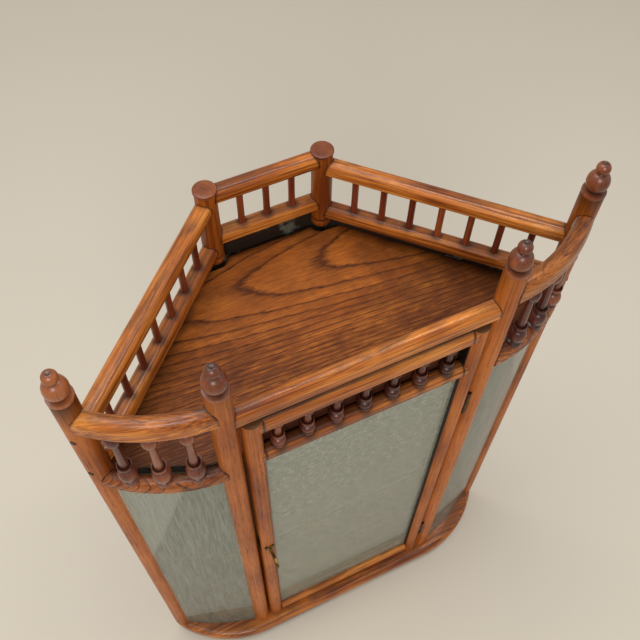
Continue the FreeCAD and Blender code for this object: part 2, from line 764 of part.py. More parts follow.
def bottomRail():
    def place(z, y):
        return Vector(-stileInnerX, y, z)
    solid = halfRound(doorBottom, bottomRailTop, (doorBottom + bottomRailTop) / 2.0,
                      doorFrontY + bottomRailStepBack, doorShoulderY, doorBackY,
                      Vector(2.0 * stileInnerX, 0, 0), place)
    return solid.cut(glassRebate)


stileRight = cutAll(stile(), doorLeaves)
stileLeft = cutAll(mirrored(stile()), lockSinkings)
frontPostRight = cutAll(frontPostSolid, hingeMortises())
frontPostLeft = mirrored(frontPostSolid).cut(strike)

# Saved pieces
saveBoth("post_wall", wallPostSolid)
save("post_front_right", frontPostRight)
save("post_front_left", frontPostLeft)
saveBoth("post_back", backPostSolid)
saveBoth("finial_wall", standing(finial(), wallPost, postTop))
saveBoth("finial_front", standing(finial(), frontPost, postTop))
saveBoth("cap_back", backCap)
save("top_board", topBoard)
save("shelf", shelf)
save("shelf_cleats", Part.makeCompound([shelfCleat(), mirrored(shelfCleat())]))
save("base_board", baseBoard())
save("plinth", plinth())
saveBoth("panel_side", sidePanel)
save("panel_back", middlePanel)
saveBoth("rail_upper_side", upperSide)
saveBoth("rail_lower_side", lowerSide)
save("rail_upper_back", upperBack)
save("rail_lower_back", lowerBack)
save("rail_front", frontRail)
saveBoth("rail_upper_curved", upperCurved)
saveBoth("rail_lower_curved", lowerCurved)
saveBoth("dowels_side", Part.makeCompound(sideDowels))
save("dowels_back", Part.makeCompound(backDowels))
saveBoth("spindles_curved", Part.makeCompound(curveSpindles))
saveBoth("glass_curved", curveGlass)
save("rail_screws", Part.makeCompound(railScrews + [mirrored(s) for s in railScrews]))
save("door_stile_right", stileRight)
save("door_stile_left", stileLeft)
save("door_frieze_panel", friezePanel)
save("door_moulding_upper", upperMould)
save("door_moulding_lower", lowerMould)
save("door_bobbins", Part.makeCompound(bobbins))
save("door_bottom_rail", bottomRail())
save("door_glass", doorGlass)
save("door_beads", Part.makeCompound(doorBeads()))
save("hinge_leaves_door", Part.makeCompound(doorLeaves))
save("hinge_leaves_post", Part.makeCompound(postLeaves))
save("hinge_pins", Part.makeCompound(hingePins))
save("lock_case", lockCase)
save("lock_bolt", lockBolt)
save("lock_escutcheon", escutcheon)
save("lock_key", key)
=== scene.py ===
import zlib
from functools import partial

import bpy
import numpy as np
from mathutils import Matrix, Vector


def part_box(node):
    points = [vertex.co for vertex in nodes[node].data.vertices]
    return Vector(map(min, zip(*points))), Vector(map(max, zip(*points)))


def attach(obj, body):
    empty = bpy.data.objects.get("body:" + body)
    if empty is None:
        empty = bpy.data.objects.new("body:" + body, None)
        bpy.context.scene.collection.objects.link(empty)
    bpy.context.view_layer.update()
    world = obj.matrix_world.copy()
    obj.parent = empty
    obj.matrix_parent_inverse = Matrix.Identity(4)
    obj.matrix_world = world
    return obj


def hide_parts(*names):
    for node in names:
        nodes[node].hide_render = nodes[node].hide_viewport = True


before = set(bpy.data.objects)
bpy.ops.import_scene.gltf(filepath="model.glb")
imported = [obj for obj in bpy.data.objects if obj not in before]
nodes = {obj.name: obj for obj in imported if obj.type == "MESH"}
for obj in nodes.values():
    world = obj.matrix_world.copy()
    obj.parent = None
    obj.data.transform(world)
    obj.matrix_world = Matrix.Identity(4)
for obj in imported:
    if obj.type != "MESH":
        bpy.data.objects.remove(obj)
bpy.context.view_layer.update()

# Plan of the cabinet in millimetres: x from the middle, y from the line of the wall posts, z from the floor
plan = {
    "originY": 64.1, "baseTop": 34.0, "boardTop": 675.0, "postRadius": 12.5,
    "wallPost": (275.0, 0.0), "frontPost": (152.5, -50.0), "backPost": (70.5, 206.8)}
board = plan["boardTop"]

# Shells: points in plan millimetres, faces, and where each point lay in the plank it was cut from.
# A pith is how far the plank's middle lay from a turning's axis or a section's foot.
kit = {
    "sides": 56, "turnedPith": (34.0, 9.0), "sweptPith": (6.0, 26.0), "plankLength": 900.0,
    "sharpAngle": 35.0, "endShade": 0.5}


def closedTube(grid, grain):
    # grid[row, col] is a point; quads wrap round the columns, and a fan closes each end row
    rows, cols = grid.shape[:2]
    i, j = np.meshgrid(np.arange(rows - 1) * cols, np.arange(cols), indexing="ij")
    m = (j + 1) % cols
    quads = np.stack([i + j, i + m, i + cols + m, i + cols + j], -1).reshape(-1, 4)
    j, m, last = j[0], m[0], (rows - 1) * cols
    foot = np.stack([m, j, np.full(cols, rows * cols)], -1)
    head = np.stack([last + j, last + m, np.full(cols, rows * cols + 1)], -1)
    points, where = (np.vstack([v.reshape(-1, 3), v[0].mean(0), v[-1].mean(0)]) for v in (grid, grain))
    return {"points": points, "faces": quads.tolist() + foot.tolist() + head.tolist(), "grain": where}


def turnedOut(shell):
    # faces point outward when the sum of a·(b×c) over all corners is positive
    p, total = shell["points"], 0.0
    for n in (3, 4):
        f = np.array([q for q in shell["faces"] if len(q) == n])
        if len(f):
            for k in range(1, n - 1):
                total += np.einsum("ij,ij->i", p[f[:, 0]], np.cross(p[f[:, k]], p[f[:, k + 1]])).sum()
    if total < 0:
        shell["faces"] = [q[::-1] for q in shell["faces"]]
    return shell


def mirroredShell(shell):
    return turnedOut({**shell, "points": shell["points"] * [-1, 1, 1], "grain": shell["grain"] * [1, 1, -1]})


def addAttribute(mesh, name, kind, key, values):
    mesh.attributes.new(name, kind, "POINT").data.foreach_set(key, np.ravel(values))


def makePiece(name, shells, body, replaced, material, joints=None):
    # each shell has its own place in the plank and its own tone; joints gives the painted shade and dirt at
    # each point
    rng = np.random.default_rng(zlib.crc32(name.encode()))
    points, faces, grain, tone = [], [], [], []
    for shell in shells:
        start = sum(len(p) for p in points)
        points.append(shell["points"])
        faces += [[i + start for i in f] for f in shell["faces"]]
        grain.append(shell["grain"] + np.array([rng.uniform(0, kit["plankLength"]), 0, 0]))
        tone.append(np.full(len(shell["points"]), rng.uniform(0, 1)))
    points = np.vstack(points)
    # the darkness is painted shade and dirt, from each shell's shade and from joints
    dark = np.concatenate([shell.get("shade", np.zeros(len(shell["points"]))) for shell in shells])
    if joints:
        dark = np.maximum(dark, joints(points))
    mesh = bpy.data.meshes.new(name)
    mesh.from_pydata(((points - [0, plan["originY"], 0]) / 1000.0).tolist(), [], faces)
    addAttribute(mesh, "grain", "FLOAT_VECTOR", "vector", np.vstack(grain) / 1000.0)
    addAttribute(mesh, "tone", "FLOAT", "value", np.concatenate(tone))
    addAttribute(mesh, "joint", "FLOAT", "value", dark)
    mesh.shade_smooth()
    mesh.set_sharp_from_angle(angle=np.radians(kit["sharpAngle"]))
    mesh.materials.append(material)
    piece = bpy.data.objects.new(name, mesh)
    bpy.context.scene.collection.objects.link(piece)
    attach(piece, body)
    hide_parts(*replaced)


def makePair(name, shells, node, right, left=None, joints=None):
    # the piece on the right and its mirror image on the left, each in its own wood or glass
    makePiece(name + "Right", shells, "carcase", [node + "_right"], right, joints)
    mirrored = [mirroredShell(shell) for shell in shells]
    makePiece(name + "Left", mirrored, "carcase", [node + "_left"], left or right, joints)


def lathe(profile, centre, z, sides=kit["sides"], shade=None):
    # a half profile of radius and height turned about a vertical axis at centre, standing at height z;
    # shade darkens its rows
    profile = np.array(profile, float)
    a = np.linspace(0, 2 * np.pi, sides, endpoint=False)
    x, y = np.outer(profile[:, 0], np.cos(a)), np.outer(profile[:, 0], np.sin(a))
    h = np.repeat(profile[:, 1:], sides, 1) + z
    pith = kit["turnedPith"]
    grid = np.stack([x + centre[0], y + centre[1], h], -1)
    shell = turnedOut(closedTube(grid, np.stack([h, x + pith[0], y + pith[1]], -1)))
    if shade is not None:
        shell["shade"] = np.concatenate([np.repeat(shade, sides), [shade[0], shade[-1]]])
    return shell


def sweep(section, path, across, grainAt=None, shade=None):
    # a section of (across, up) points carried along a path; across[i] is the sideways direction at path[i];
    # shade darkens section points
    path, across, section = (np.array(v, float) for v in (path, across, section))
    grid = path[:, None, :] + across[:, None, :] * section[None, :, :1]
    grid[:, :, 2] += section[None, :, 1]
    if grainAt is None:
        run = np.concatenate([[0], np.cumsum(np.linalg.norm(np.diff(path, axis=0), axis=1))])
        side, up = section.T + np.array(kit["sweptPith"])[:, None]
        grain = np.stack(np.broadcast_arrays(run[:, None], side, up), -1)
    else:
        grain = grainAt(grid)
    shell = turnedOut(closedTube(grid, grain))
    if shade is not None:
        # the end caps, where a piece meets a post or stile, carry painted shade
        shell["shade"] = np.concatenate([np.tile(shade, len(path)), [kit["endShade"]] * 2])
    return shell


def arc(centre, radius, start, end, count):
    a = np.radians(np.linspace(start, end, count))
    return np.stack([centre[0] + radius * np.cos(a), centre[1] + radius * np.sin(a)], -1)


def hexColour(text):
    # sRGB hex to linear colour
    c = np.array([int(text[i:i + 2], 16) for i in (1, 3, 5)]) / 255.0
    c = np.where(c <= 0.04045, c / 12.92, ((c + 0.055) / 1.055) ** 2.4)
    return (*c, 1.0)


def setInputs(tree, node, inputs):
    # inputs by name, or in their order; each is a value, or a socket to link from
    for place, value in inputs.items() if isinstance(inputs, dict) else enumerate(inputs):
        if isinstance(value, bpy.types.NodeSocket):
            tree.links.new(value, node.inputs[place])
        else:
            node.inputs[place].default_value = value


def addNode(tree, kind, inputs=(), out=0, stops=(), **settings):
    # one node with its settings and links gives its output; stops are a colour ramp's places and colours
    node = tree.nodes.new("ShaderNode" + kind)
    for name, value in settings.items():
        setattr(node, name, value)
    setInputs(tree, node, inputs)
    for spare in stops[2:]:
        node.color_ramp.elements.new(0.5)
    for number, (place, colour) in enumerate(stops):
        node.color_ramp.elements[number].position = place
        node.color_ramp.elements[number].color = colour if isinstance(colour, tuple) else hexColour(colour)
    return node.outputs[out]


def newMaterial(name):
    # gives the material, a call that adds a node to it, and one that sets its shader's sockets
    material = bpy.data.materials.new(name)
    material.use_nodes = True
    tree = material.node_tree
    return material, partial(addNode, tree), partial(setInputs, tree, tree.nodes["Principled BSDF"])


print("kit ready")

# Camera: solved from the posts, rails and board; place in plan millimetres above the board
shot = {
    "location": (-218.07, -380.41, 805.40), "focalPixels": 824.21, "framePixels": 640.0,
    "right": (0.90468, -0.42591, 0.01250), "down": (-0.35399, -0.76759, -0.53431),
    "forward": (0.23716, 0.47896, -0.84519), "sensor": 36.0, "clipStart": 0.01}


def makeCamera():
    data = bpy.data.cameras.new("camera")
    data.sensor_width = shot["sensor"]
    data.lens = shot["focalPixels"] * shot["sensor"] / shot["framePixels"]
    data.clip_start = shot["clipStart"]
    camera = bpy.data.objects.new("camera", data)
    bpy.context.scene.collection.objects.link(camera)
    x, y, z = shot["location"]
    right, down, forward = (Vector(shot[k]).normalized() for k in ("right", "down", "forward"))
    turn = Matrix((right, -down, -forward)).transposed().to_4x4()
    camera.matrix_world = Matrix.Translation(Vector((x, y - plan["originY"], z + board)) / 1000.0) @ turn
    bpy.context.scene.camera = camera


makeCamera()

# Stage in metres: pale floor, a wide soft lamp overhead, softer ones on the left front and right, and a long
# narrow one that lights the crests of the rails; each lamp has a name, a place, its two sizes and its watts
stage = {
    "floorColour": "#c9bfae", "floorSize": 12.0, "floorRoughness": 0.9, "worldStrength": 0.42,
    "aim": (0.0, 0.0, 0.5),
    "lamps": (("topLamp", (-0.8, 0.5, 3.0), (1.8, 1.8), 38.0),
              ("keyLamp", (-1.1, -2.2, 2.5), (1.4, 1.4), 47.0),
              ("stripLamp", (0.6, -0.05, 3.0), (0.25, 1.8), 20.0),
              ("fillLamp", (2.2, -0.9, 1.6), (1.6, 1.6), 4.0))}


def makeStage():
    bpy.ops.mesh.primitive_plane_add(size=stage["floorSize"])
    floor = bpy.context.object
    floor.name = "floor"
    material, add, setShader = newMaterial("paleFloor")
    setShader({"Base Color": hexColour(stage["floorColour"]), "Roughness": stage["floorRoughness"]})
    floor.data.materials.append(material)
    world = bpy.data.worlds.new("world")
    bpy.context.scene.world = world
    world.use_nodes = True
    light = {"Color": hexColour("#ffffff"), "Strength": stage["worldStrength"]}
    setInputs(world.node_tree, world.node_tree.nodes["Background"], light)
    for name, place, size, power in stage["lamps"]:
        data = bpy.data.lights.new(name, "AREA")
        data.shape, data.size, data.size_y, data.energy = "RECTANGLE", size[0], size[1], power
        lamp = bpy.data.objects.new(name, data)
        bpy.context.scene.collection.objects.link(lamp)
        lamp.location = place
        lamp.rotation_euler = (Vector(stage["aim"]) - Vector(place)).to_track_quat("-Z", "Y").to_euler()


makeStage()
bpy.context.scene.view_settings.view_transform = "Standard"
print("camera and stage ready")


def cloudy(add, where, sizes, detail=2.0, roughness=0.5):
    # noise whose clouds have these sizes in millimetres along x, y and z
    stretched = add("Mapping", {"Vector": where, "Scale": [1000.0 / size for size in sizes]})
    return add("TexNoise", {"Vector": stretched, "Scale": 1.0, "Detail": detail, "Roughness": roughness})


def coated(add, colour, layers):
    # each layer lies over those before it by its mask times its share
    for mask, share, over in layers:
        if share != 1.0:
            mask = add("Math", (mask, share), operation="MULTIPLY")
        over = hexColour(over) if isinstance(over, str) else over
        colour = add("Mix", {0: mask, 6: colour, 7: over}, 2, data_type="RGBA")
    return colour


# What the woods share; sizes are in millimetres, along the grain and twice across it
wood = {
    "wander": (166.67, 38.46, 38.46),  # slow drift of the rings
    "tooth": (16.667, 3.125, 3.125),  # teeth that the pores cut into the rings' edges
    "pores": (20.833, 1.0204, 1.0204),  # wider than real ones, so that they show
    "poreRange": (0.5, 0.62),
    "poreShares": (0.6, 0.4),  # along the rings, and everywhere
    "streak": (142.86, 2.5, 2.5),
    "patch": (125.0, 41.67, 41.67),
    "ringStops": [(place, (c, c, c, 1.0)) for place, c in (
        (0.0, 1.0), (0.06, 0.6), (0.16, 0.22), (0.4, 0.05), (0.9, 0.0), (1.0, 1.0))],
    "toneStops": (0.37, 0.5, 0.63),
    "wear": (26.316, 26.316, 26.316),
    "wearRange": (0.32, 0.66),
    # colour of the painted shade and dirt that pieces carry in creases, recesses and joints
    "shadeAndDirtColour": "#170c07",
    "calmShare": 0.25,
    "raggedness": 0.3,
    "rimDarkRange": (0.45, 1.25, 0.0, 0.75),
    "wornFrom": 0.75,
    "outwardFrom": 0.1,
    "stainPoreShare": 0.6,
    "dullness": 0.3,  # added roughness of pores and dust
    "poreDepth": 0.0003,
    "coatRoughness": 0.12}


def ringBand(add, where, look):
    # rings are cylinders round the pith, cut by the surface: a ring's number is its depth over the spacing,
    # or depth squared over twice the spacing times the width where rings narrow outward
    flat = add("VectorMath", (where, (0.0, 1.0, 1.0)), operation="MULTIPLY")
    depth = add("VectorMath", (flat,), "Value", operation="LENGTH")
    drift = cloudy(add, where, wood["wander"])
    depth = add("Math", (drift, look["wander"] / 1000.0, depth), operation="MULTIPLY_ADD")
    if "tooth" in look:
        teeth = cloudy(add, where, wood["tooth"], 2.0, 0.6)
        depth = add("Math", (teeth, look["tooth"] / 1000.0, depth), operation="MULTIPLY_ADD")
    reach = depth
    if "narrowing" in look:
        squared = add("Math", (depth, depth), operation="MULTIPLY")
        reach = add("Math", (squared, 2.0 * look["narrowing"] / 1000.0), operation="DIVIDE")
    number = add("Math", (reach, 1000.0 / look["ringSpacing"]), operation="MULTIPLY")
    place = add("Math", (number,), operation="FRACT")
    return add("ValToRGB", (place,), stops=wood["ringStops"]), depth


def poreMask(add, where, band):
    # short dark dashes along the grain, thickest in the rings
    dashes = cloudy(add, where, wood["pores"], 3.0, 0.62)
    dashes = add("MapRange", (dashes, *wood["poreRange"]))
    crowd = add("Math", (band, *wood["poreShares"]), operation="MULTIPLY_ADD")
    return add("Math", (dashes, crowd), operation="MULTIPLY")


def woodTone(add, where, depth, look):
    # streaks over wider patches, about one half; streaks are calmer near the pith, where a board is sawn flat
    lively, patchy = look["streakShare"], look["patchShare"]
    if "calm" in look:
        near, far = (v / 1000.0 for v in look["calm"])
        lively = add("MapRange", (depth, near, far, wood["calmShare"] * lively, lively))
    streak = add("Math", (cloudy(add, where, wood["streak"], 3.0, 0.6), 0.5), operation="SUBTRACT")
    tone = add("Math", (streak, lively, 0.5 - patchy / 2), operation="MULTIPLY_ADD")
    tone = add("Math", (cloudy(add, where, wood["patch"]), patchy, tone), operation="MULTIPLY_ADD")
    if "pith" in look:
        return tone
    # each plank's own tone
    own, share = add("Attribute", out="Fac", attribute_name="tone"), look["toneShare"]
    own = add("Math", (own, share, -share / 2), operation="MULTIPLY_ADD")
    return add("Math", (tone, own), operation="ADD")


def rimDarkening(add, coordinates, wear, look):
    # lighter about the middle and darker towards the rails: distance over the half sizes, made ragged
    halves = look["lighterHalf"]
    shift = [-middle / half for middle, half in zip(look["lighterMiddle"], halves)]
    scale = [1000.0 / half for half in halves]
    centred = add("Mapping", {"Vector": coordinates, "Location": (*shift, 0.0), "Scale": (*scale, 0.0)})
    reach = add("VectorMath", (centred,), "Value", operation="LENGTH")
    ragged = wood["raggedness"]
    ragged = add("Math", (wear, ragged, -ragged / 2), operation="MULTIPLY_ADD")
    return add("MapRange", (add("Math", (reach, ragged), operation="ADD"), *wood["rimDarkRange"]))


def woodMaterial(name, look):
    # a look with a pith is sawn from its object's coordinates, the others from each piece's plank
    material, add, setShader = newMaterial(name)
    coordinates = add("TexCoord", out="Object")
    if "pith" in look:
        turn, pith = look.get("turn", (0.0, 0.0, 0.0)), [v / 1000.0 for v in look["pith"]]
        where = add("Mapping", {"Vector": coordinates, "Rotation": turn, "Location": pith})
    else:
        where = add("Attribute", out="Vector", attribute_name="grain")
    band, depth = ringBand(add, where, look)
    pores = poreMask(add, where, band)
    tone = woodTone(add, where, depth, look)
    tones = list(zip(wood["toneStops"], (look["dark"], look["mid"], look["light"])))
    # dust lies where the wood faces up, and painted shade and dirt where the pieces carry them; a node
    # without that attribute reads nought
    facing = add("SeparateXYZ", (add("NewGeometry", out="Normal"),)).node.outputs
    wear = add("MapRange", (cloudy(add, coordinates, wood["wear"], 4.0, 0.6), *wood["wearRange"]))
    settled = add("MapRange", (facing["Z"], look["dustFrom"], 1.0))
    settled = add("Math", (settled, wear), operation="MULTIPLY")
    settled = add("Math", (settled, look["dustShare"]), operation="MULTIPLY")
    layers = [(band, look["ringShare"], look["ring"]), (pores, look["poreShare"], look["pore"]),
              (settled, 1.0, look["dust"])]
    if "lighterMiddle" in look:
        layers.append((rimDarkening(add, coordinates, wear, look), 1.0, look["darkening"]))
    layers.append((add("Attribute", out="Fac", attribute_name="joint"), 1.0, wood["shadeAndDirtColour"]))
    axes = add("SeparateXYZ", (coordinates,)).node.outputs
    if "above" in look:
        # darker above a height, where wear breaks the edge up
        height, colour, least = look["above"]
        over = add("Math", (axes["Z"], height / 1000.0), operation="GREATER_THAN")
        worn = add("MapRange", (wear, wood["wornFrom"], 1.0, 1.0, least))
        layers.append((add("Math", (over, worn), operation="MULTIPLY"), 1.0, colour))
    if "within" in look:
        # darker within a distance of the middle plane
        distance, colour = look["within"]
        side = add("Math", (axes["X"],), operation="ABSOLUTE")
        layers.append((add("Math", (side, distance / 1000.0), operation="LESS_THAN"), 1.0, colour))
    if "outside" in look:
        # faces turned to the room's walls were only stained
        stain = list(zip(wood["toneStops"][::2], look["outside"]))
        stained = add("ValToRGB", (tone,), stops=stain)
        stained = coated(add, stained, [(pores, wood["stainPoreShare"], look["pore"])])
        turned = add("Math", (facing["Y"], wood["outwardFrom"]), operation="GREATER_THAN")
        layers.append((turned, 1.0, stained))
    dull = add("Math", (pores, settled), operation="MAXIMUM")
    sunk = {"Height": pores, "Strength": look["bump"], "Distance": wood["poreDepth"]}
    setShader({
        "Base Color": coated(add, add("ValToRGB", (tone,), stops=tones), layers),
        "Roughness": add("Math", (dull, wood["dullness"], look["roughness"]), operation="MULTIPLY_ADD"),
        "Normal": add("Bump", sunk, invert=True),
        "Specular IOR Level": look["specular"], "Coat Weight": look["coat"],
        "Coat Roughness": wood["coatRoughness"]})
    return material


# In each look: colours of the wood, its rings, pores and dust with their shares, and sizes in millimetres.
# French-polished oak: honey brown with dark open pores, streaks that run with the rail, a satin gloss on the
# crests and grey dust where it faces up
oakLook = {
    "dark": "#6e3210", "mid": "#ae6022", "light": "#d5873a", "toneShare": 0.1,
    "streakShare": 0.55, "patchShare": 0.62,
    "ring": "#4a220b", "ringShare": 0.5, "ringSpacing": 5.8, "wander": 20.0,
    "pore": "#2a1205", "poreShare": 0.75, "bump": 0.3,
    "dust": "#4c3323", "dustShare": 0.6, "dustFrom": 0.5,
    "specular": 0.24, "roughness": 0.27, "coat": 0.2}
oak = woodMaterial("frenchPolishedOak", oakLook)
oakAcross = woodMaterial("oakAcross", {**oakLook, "pith": (0.0, 90.0, -50.0)})

# oak for the right upper rail: the same figure, browner and less golden
brownerOak = woodMaterial("brownOakRight", {
    **oakLook, "dark": "#54250c", "mid": "#85451a", "light": "#ab652a", "dust": "#3d271b"})

# oak sawn across the curve: bold dark rings in contour lines, and a dull top
bowLook = {
    **oakLook, "dark": "#5f2a10", "mid": "#8f491b", "light": "#b96a2a", "toneShare": 0.0,
    "streakShare": 0.5, "patchShare": 0.4,
    "ring": "#35160a", "ringShare": 0.95, "ringSpacing": 5.2, "wander": 6.0, "poreShare": 0.6,
    "dust": "#46302a", "dustShare": 0.8, "dustFrom": 0.3, "roughness": 0.34, "coat": 0.1}
bowOak = woodMaterial("bowSawnOak", bowLook)

# straight-grained oak of the posts: plain upright streaks, duller than the rails
postLook = {
    "dark": "#703210", "mid": "#9e5218", "light": "#ba6825", "toneShare": 0.16,
    "streakShare": 0.42, "patchShare": 0.5,
    "ring": "#52250d", "ringShare": 0.2, "ringSpacing": 6.2, "wander": 12.0,
    "pore": "#2e1307", "poreShare": 0.45, "bump": 0.25,
    "dust": "#4c3626", "dustShare": 0.4, "dustFrom": 0.8,
    "specular": 0.2, "roughness": 0.36, "coat": 0.0}
postOak = woodMaterial("postOak", postLook)

# flat-sawn oak of the tray: nested arches of toothed rings over its pith, which runs about 90 mm under it and
# a little nearer the surface towards the right, with straight streaks beside them, and darker towards the rim
boardOak = woodMaterial("boardOak", {
    "turn": (0.0, 0.077, 0.0), "pith": (0.0, -88.0, -583.5),
    "dark": "#6c340f", "mid": "#9a541d", "light": "#be7029",
    "streakShare": 0.95, "patchShare": 0.32, "calm": (100.0, 170.0),
    "ring": "#3a190a", "ringShare": 0.9, "ringSpacing": 6.75, "narrowing": 100.0, "wander": 5.0, "tooth": 1.6,
    "pore": "#2c1206", "poreShare": 0.7, "bump": 0.3,
    "dust": "#4e260f", "dustShare": 0.35, "dustFrom": 0.0,
    "darkening": "#3f1f0e", "lighterMiddle": (-20.0, 70.0), "lighterHalf": (200.0, 181.82),
    "specular": 0.15, "roughness": 0.4, "coat": 0.0})

# dark stained beech: close plain grain under a glossy coat
turnedLook = {
    "dark": "#4d2012", "mid": "#70381e", "light": "#97552e", "toneShare": 0.1,
    "streakShare": 0.2, "patchShare": 0.7,
    "ring": "#401a0c", "ringShare": 0.12, "ringSpacing": 4.0, "wander": 6.0,
    "pore": "#281008", "poreShare": 0.3, "bump": 0.12,
    "dust": "#553b30", "dustShare": 0.55, "dustFrom": 0.4,
    "specular": 0.32, "roughness": 0.28, "coat": 0.3}
turnedWood = woodMaterial("darkStainedBeech", turnedLook)
spindleWood = woodMaterial("spindleBeech", {
    **turnedLook, "dark": "#3f1a13", "mid": "#5d2b1e", "light": "#86492d",
    "dust": "#4e332e", "dustShare": 0.7})
bobbinWood = woodMaterial("bobbinBeech", {
    **turnedLook, "dark": "#3a170e", "mid": "#562618", "light": "#7e4026",
    "dust": "#46271c", "dustShare": 0.6, "coat": 0.15})
capWood = woodMaterial("capBeech", {
    **turnedLook, "dark": "#582714", "mid": "#7d4122", "light": "#a25f34", "dustShare": 0.25, "coat": 0.1})

# stained dowel stock: red-brown and nearly matt, with fine streaks
dowelLook = {
    "dark": "#5c2211", "mid": "#7b3419", "light": "#984b24", "toneShare": 0.12,
    "streakShare": 0.48, "patchShare": 0.62,
    "ring": "#451a0d", "ringShare": 0.3, "ringSpacing": 4.0, "wander": 6.0,
    "pore": "#2c1008", "poreShare": 0.3, "bump": 0.15,
    "dust": "#54443a", "dustShare": 0.2, "dustFrom": 0.8,
    "specular": 0.32, "roughness": 0.4, "coat": 0.1}
dowelWood = woodMaterial("darkStainedDowel", dowelLook)

# dark unpolished panel wood, which lies in shadow
friezeLook = {
    **dowelLook, "pith": (0.0, 0.0, 0.0), "dark": "#371a0f", "mid": "#512814", "light": "#6c3c1f",
    "ring": "#26110a", "ringShare": 0.4, "ringSpacing": 6.0, "wander": 8.0,
    "pore": "#180b06", "poreShare": 0.4, "bump": 0.2,
    "dust": "#4b3a30", "dustShare": 0.3, "dustFrom": 0.7, "roughness": 0.5, "coat": 0.0}
friezeOak = woodMaterial("darkFrieze", friezeLook)
# the plinth takes the same dark look as painted shade, for it stands in shadow low under the base board
darkPlinth = woodMaterial("paintedShadePlinth", friezeLook)

# matt grey-green paint inside, through which the upright grain shows; brown near the top and stained outside
upright = (0.0, np.radians(-90.0), 0.0)
lining = woodMaterial("paintedLining", {
    **friezeLook, "turn": upright, "pith": (0.0, -500.0, 0.0),
    "dark": "#868877", "mid": "#9c9e8b", "light": "#b0b09d", "ring": "#7c7f6f", "ringShare": 0.3,
    "pore": "#5d6052", "poreShare": 0.6, "dust": "#8d8f7e", "dustFrom": 0.6, "roughness": 0.6,
    "above": (board - 45.0, "#2a1d14", 0.55), "outside": ("#43240f", "#6b3d1e")})


def metalMaterial(name, colours, roughness, metallic, cloudSize):
    # worn metal: darker and duller in its hollows, by clouds of this size in millimetres
    material, add, setShader = newMaterial(name)
    cloud = cloudy(add, add("TexCoord", out="Object"), [cloudSize] * 3, 4.0, 0.6)
    setShader({
        "Base Color": add("ValToRGB", (cloud,), stops=((0.35, colours[0]), (0.62, colours[1]))),
        "Roughness": add("Math", (cloud, -0.3, roughness + 0.15), operation="MULTIPLY_ADD"),
        "Metallic": metallic})
    return material


agedBrass = metalMaterial("agedBrass", ("#4e3a1e", "#967638"), 0.4, 1.0, 6.667)
hingeBrass = metalMaterial("blackenedBrass", ("#2c2118", "#5c4628"), 0.5, 1.0, 6.667)
blackSteel = metalMaterial("blackenedSteel", ("#1c1816", "#3a3532"), 0.45, 0.8, 4.545)


def glassMaterial(name, look):
    # old drawn glass: clear, under a grey-green film whose clouds hide more or less of what is behind it; the
    # film's pale colour is partly painted reflection
    material, add, setShader = newMaterial(name)
    coordinates = add("TexCoord", out="Object")
    cloud = cloudy(add, coordinates, look["clouds"], 4.0, 0.6)
    low, high = look["range"]
    colour = add("ValToRGB", (cloud,), stops=((low, look["film"][0]), (high, look["film"][1])))
    alpha = add("MapRange", (cloud, low, high, *look["cover"]))
    if "reflectionColour" in look:
        # painted reflection: an even, paler film in the upper corner by the wall post, past a slanting edge
        axes = add("SeparateXYZ", (coordinates,)).node.outputs
        side = add("Math", (axes["X"],), operation="ABSOLUTE")
        slant = add("Math", (axes["Z"], look["slope"], side), operation="MULTIPLY_ADD")
        start = look["reflectionFrom"] / 1000.0
        corner = add("MapRange", (slant, start, start + look["reflectionEdge"] / 1000.0, 0.0, look["reflectionShare"]))
        colour = coated(add, colour, [(corner, 1.0, look["reflectionColour"])])
        alpha = add("Math", (corner, look["reflectionCover"], alpha), operation="MULTIPLY_ADD")
    setShader({"Base Color": colour, "Alpha": alpha, "Roughness": 0.06, "IOR": 1.5})
    return material


# the door's pane is clouded in flecks of 8 mm, painted as the floor's reflection, the bowed panes in upright
# streaks 2.4 mm wide
flatGlass = glassMaterial("cloudedFlatGlass", {
    "film": ("#9a9d8b", "#b4b5a3"), "clouds": (8.333, 8.333, 8.333),
    "range": (0.38, 0.62), "cover": (0.5, 0.55)})
bowedGlass = glassMaterial("drawnBowedGlass", {
    "film": ("#7a7e6f", "#989b8a"), "clouds": (2.381, 2.381, 55.56),
    "range": (0.38, 0.62), "cover": (0.46, 0.58), "reflectionColour": "#a6a999", "slope": 0.259,
    "reflectionFrom": 373.4, "reflectionEdge": 3.0, "reflectionShare": 0.8, "reflectionCover": 0.06})
print("materials ready")

# Places of the posts and the curve between them
wallPost, frontPost, backPost = (np.array(plan[k]) for k in ("wallPost", "frontPost", "backPost"))
chordLength = float(np.linalg.norm(frontPost - wallPost))
chord = (frontPost - wallPost) / chordLength
outward = np.array([-chord[1], chord[0]])
wallLength = float(np.linalg.norm(backPost - wallPost))
wallRun = (backPost - wallPost) / wallLength
toWall = np.array([wallRun[1], -wallRun[0]])
hands = (("Right", 1), ("Left", -1))


def bowArc(half, endOffset, midOffset):
    # through two ends and the middle: radius is half-chord squared over twice the rise, plus half the rise
    rise = midOffset - endOffset
    radius = half * half / (2 * rise) + rise / 2
    return radius, (wallPost + frontPost) / 2 + outward * (midOffset - radius)


def bowPoints(radius, centre, a):
    # points on the arc at the angles a from its middle, and the directions away from its centre
    across = np.outer(np.cos(a), outward) + np.outer(np.sin(a), chord)
    return centre + across * radius, across


def bowCurve(inset, endOffset, midOffset, count):
    half = chordLength / 2 - inset
    radius, centre = bowArc(half, endOffset, midOffset)
    return bowPoints(radius, centre, np.linspace(-np.arcsin(half / radius), np.arcsin(half / radius), count))


def flat3(points, z=0.0):
    points = np.atleast_2d(points)
    return np.column_stack([points, np.full(len(points), z)])


